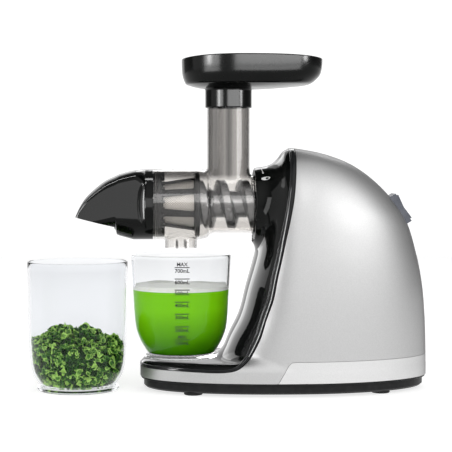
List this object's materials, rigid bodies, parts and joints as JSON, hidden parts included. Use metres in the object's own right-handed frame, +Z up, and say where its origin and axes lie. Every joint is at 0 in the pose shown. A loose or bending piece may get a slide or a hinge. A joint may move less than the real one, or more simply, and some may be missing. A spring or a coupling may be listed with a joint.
{
  "type": "horizontal cold press juicer",
  "caption": "Horizontal auger juicer: egg-shaped housing with platform, clear drum with chute and spout, black snout, hopper tray, juice cup on the platform and pulp cup beside it.",
  "frame": {"origin": "on the table, under the middle of the bounding box", "axes": "+X from the pulp outlet to the rear of the motor housing, +Y to the far side, +Z up"},
  "size_m": [0.4402, 0.156, 0.3645],
  "materials": {
    "silver_paint": "silver metallic paint on plastic",
    "gloss_black": "mirror gloss black",
    "satin_black": "satin black",
    "smoke_clear": "clear smoke-tinted plastic",
    "clear": "clear plastic",
    "dark_auger": "dark grey gloss",
    "steel": "bright steel",
    "rubber": "black rubber",
    "bronze": "sintered bronze",
    "copper": "enamelled copper wire",
    "nylon": "natural nylon",
    "board": "green circuit board",
    "leaf_green": "chopped leaf greens"
  },
  "bodies": {
    "machine": {"base_tray": "satin_black", "foot_1": "rubber", "foot_2": "rubber", "foot_3": "rubber", "foot_4": "rubber", "foot_screw_1": "steel", "foot_screw_2": "steel", "foot_screw_3": "steel", "foot_screw_4": "steel", "side_shell": "silver_paint", "rear_skirt": "silver_paint", "edge_trim": "satin_black", "front_panel": "gloss_black", "gearbox_case": "nylon", "gearbox_cover": "nylon", "motor_front_bracket": "steel", "motor_rear_bracket": "steel", "control_board": "board", "capacitor": "satin_black", "switch_bezel": "satin_black", "cord_gland": "rubber", "lock_ring": "satin_black", "shaft_seal": "rubber", "output_bush": "bronze", "motor_can": "steel", "stator": "steel", "front_winding": "copper", "rear_winding": "copper", "front_bearing": "steel", "rear_bearing": "steel"},
    "drive": {"output_gear": "nylon", "output_shaft": "steel", "auger_stub": "steel", "auger": "dark_auger"},
    "cluster": {"gear_cluster_shaft": "steel", "gear_cluster_wheel": "nylon"},
    "rotor": {"rotor_shaft": "steel", "rotor_core": "steel", "cooling_fan": "nylon"},
    "drum": {"drum_housing": "smoke_clear", "auger_seal": "rubber", "strainer_frame": "satin_black", "strainer_screen": "steel"},
    "snout": {"end_cap": "gloss_black", "tip_bush": "nylon", "cap_seal": "rubber"},
    "tray": {"hopper_tray": "gloss_black"},
    "juice_cup_body": {"juice_cup": "clear"},
    "pulp_cup_body": {"pulp_cup": "clear", "greens_heap": "leaf_green"},
    "rocker": {"rocker_switch": "satin_black"}
  },
  "joints": [
    {"name": "auger_spin", "type": "hinge", "parent": "machine", "child": "drive", "pos_m": [0, 0, 0.203], "axis": [1, 0, 0], "continuous": true},
    {"name": "cluster_spin", "type": "hinge", "parent": "machine", "child": "cluster", "pos_m": [0, 0, 0.153], "axis": [1, 0, 0], "continuous": true},
    {"name": "rotor_spin", "type": "hinge", "parent": "machine", "child": "rotor", "pos_m": [0, 0, 0.1155], "axis": [1, 0, 0], "continuous": true},
    {"name": "drum_lock", "type": "hinge", "parent": "machine", "child": "drum", "pos_m": [0, 0, 0.203], "axis": [1, 0, 0], "range_deg": [-40, 0]},
    {"name": "cap_twist", "type": "hinge", "parent": "drum", "child": "snout", "pos_m": [0, 0, 0.203], "axis": [1, 0, 0], "range_deg": [-30, 0]},
    {"name": "tray_lift", "type": "slide", "parent": "drum", "child": "tray", "axis": [0, 0, 1], "range_m": [0, 0.06]},
    {"name": "juice_cup_slide", "type": "slide", "parent": "machine", "child": "juice_cup_body", "axis": [0, -1, 0], "range_m": [0, 0.15]},
    {"name": "pulp_cup_slide", "type": "slide", "parent": "machine", "child": "pulp_cup_body", "axis": [-1, 0, 0], "range_m": [0, 0.15]},
    {"name": "switch_rock", "type": "hinge", "parent": "machine", "child": "rocker", "pos_m": [0.1911, 0, 0.1985], "axis": [0, 1, 0], "range_deg": [-10, 10]}
  ],
  "couplings": [
    {"joint": "cluster_spin", "follows": "auger_spin", "ratio": -4},
    {"joint": "rotor_spin", "follows": "auger_spin", "ratio": 16}
  ]
}
